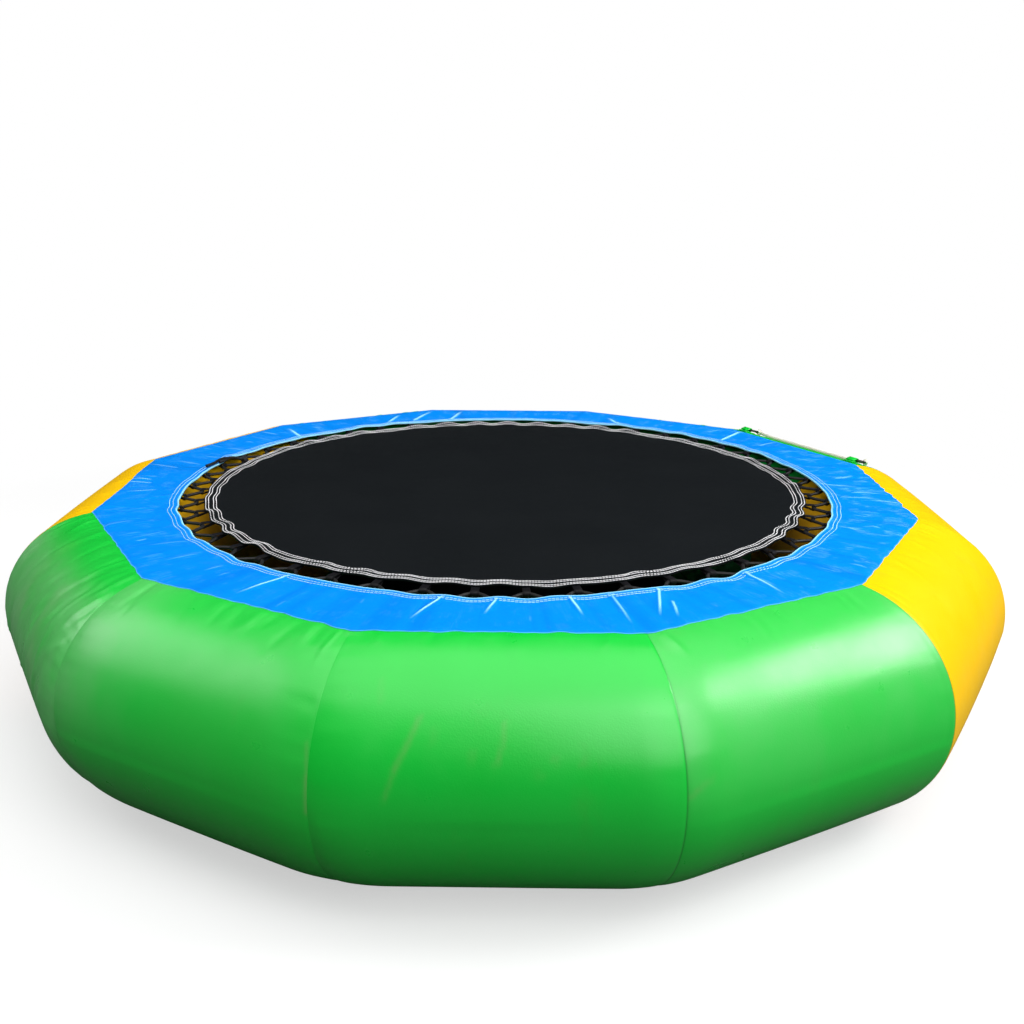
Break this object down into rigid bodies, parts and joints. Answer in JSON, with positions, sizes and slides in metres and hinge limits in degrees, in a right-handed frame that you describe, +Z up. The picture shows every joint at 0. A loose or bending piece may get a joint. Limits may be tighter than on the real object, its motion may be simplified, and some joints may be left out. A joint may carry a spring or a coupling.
{
  "type": "water trampoline",
  "caption": "Inflatable water trampoline: a green and yellow mitred tube ring, a blue top cover and a black jumping mat laced in with elastic cord.",
  "frame": {"origin": "centre of the ring on the surface it rests on", "axes": "+Z up; -Y is the front, facing the viewer of the picture; +X to the viewer's right"},
  "size_m": [1.98, 1.98, 0.4252],
  "materials": {
    "green_pvc": "glossy coated fabric",
    "yellow_pvc": "glossy coated fabric",
    "blue_pvc": "satin coated fabric",
    "black_mat_weave": "matte woven",
    "black_webbing": "matte woven webbing",
    "black_shock_cord": "braided sleeve",
    "black_valve_plastic": "satin moulded",
    "grey_flap_rubber": "matte",
    "stainless_steel": "polished wire",
    "black_ring_plastic": "satin moulded",
    "white_rope": "braided rope"
  },
  "bodies": {
    "ring": {"tube_segment_01": "green_pvc", "tube_segment_02": "green_pvc", "tube_segment_03": "yellow_pvc", "tube_segment_04": "yellow_pvc", "tube_segment_05": "green_pvc", "tube_segment_06": "green_pvc", "tube_segment_07": "green_pvc", "tube_segment_08": "green_pvc", "tube_segment_09": "yellow_pvc", "tube_segment_10": "yellow_pvc", "tube_segment_11": "green_pvc", "tube_segment_12": "green_pvc", "cover": "blue_pvc", "cover_loop_band": "black_webbing", "lacing_cord": "black_shock_cord", "lacing_knot_inner": "black_shock_cord", "lacing_knot_outer": "black_shock_cord", "valve_base": "black_valve_plastic", "anchor_patch_front": "green_pvc", "anchor_patch_right": "green_pvc", "anchor_patch_back": "green_pvc", "anchor_patch_left": "green_pvc", "anchor_strap_front": "black_webbing", "anchor_strap_right": "black_webbing", "anchor_strap_back": "black_webbing", "anchor_strap_left": "black_webbing", "grab_patch_left": "green_pvc", "grab_patch_right": "green_pvc", "grab_strap_left": "green_pvc", "grab_strap_right": "green_pvc"},
    "mat": {"mat_fabric": "black_mat_weave", "mat_loop_band": "black_webbing"},
    "valve_insert": {"valve_insert": "black_valve_plastic", "valve_tether": "black_valve_plastic"},
    "valve_cap": {"valve_cap": "black_valve_plastic"},
    "valve_flap": {"valve_flap": "grey_flap_rubber"},
    "anchor_ring_front": {"anchor_ring_front": "stainless_steel"},
    "anchor_ring_right": {"anchor_ring_right": "stainless_steel"},
    "anchor_ring_back": {"anchor_ring_back": "stainless_steel"},
    "anchor_ring_left": {"anchor_ring_left": "stainless_steel"},
    "grab_handle": {"grab_ring_left": "black_ring_plastic", "grab_ring_right": "black_ring_plastic", "grab_rope": "white_rope", "grab_rope_knot_left": "white_rope", "grab_rope_knot_right": "white_rope"}
  },
  "joints": [
    {"name": "mat_bounce", "type": "slide", "parent": "ring", "child": "mat", "axis": [0, 0, -1], "range_m": [0, 0.05], "stiffness_N_per_m": 6000, "springref_m": -0.005, "deforming": ["lacing_cord", "mat_loop_band"]},
    {"name": "valve_unscrew", "type": "slide", "parent": "ring", "child": "valve_insert", "axis": [0, 0.7071, 0.7071], "range_m": [0, 0.03]},
    {"name": "valve_cap_pull", "type": "slide", "parent": "valve_insert", "child": "valve_cap", "axis": [0, 0.7071, 0.7071], "range_m": [0, 0.02], "deforming": ["valve_tether"]},
    {"name": "valve_flap_open", "type": "slide", "parent": "valve_insert", "child": "valve_flap", "axis": [0, -0.7071, -0.7071], "range_m": [0, 0.003], "stiffness_N_per_m": 50, "springref_m": -0.002},
    {"name": "anchor_ring_front_swing", "type": "hinge", "parent": "ring", "child": "anchor_ring_front", "pos_m": [0, -0.5661, 0.201], "axis": [1, 0, 0], "range_deg": [-5, 165]},
    {"name": "anchor_ring_right_swing", "type": "hinge", "parent": "ring", "child": "anchor_ring_right", "pos_m": [0.5661, 0, 0.201], "axis": [0, 1, 0], "range_deg": [-5, 165]},
    {"name": "anchor_ring_back_swing", "type": "hinge", "parent": "ring", "child": "anchor_ring_back", "pos_m": [0, 0.5661, 0.201], "axis": [-1, 0, 0], "range_deg": [-5, 165]},
    {"name": "anchor_ring_left_swing", "type": "hinge", "parent": "ring", "child": "anchor_ring_left", "pos_m": [-0.5661, 0, 0.201], "axis": [0, -1, 0], "range_deg": [-5, 165]},
    {"name": "grab_handle_lift", "type": "hinge", "parent": "ring", "child": "grab_handle", "pos_m": [0.71792, 0.41449, 0.41948], "axis": [0.5, -0.866, 0], "range_deg": [0, 110]}
  ]
}
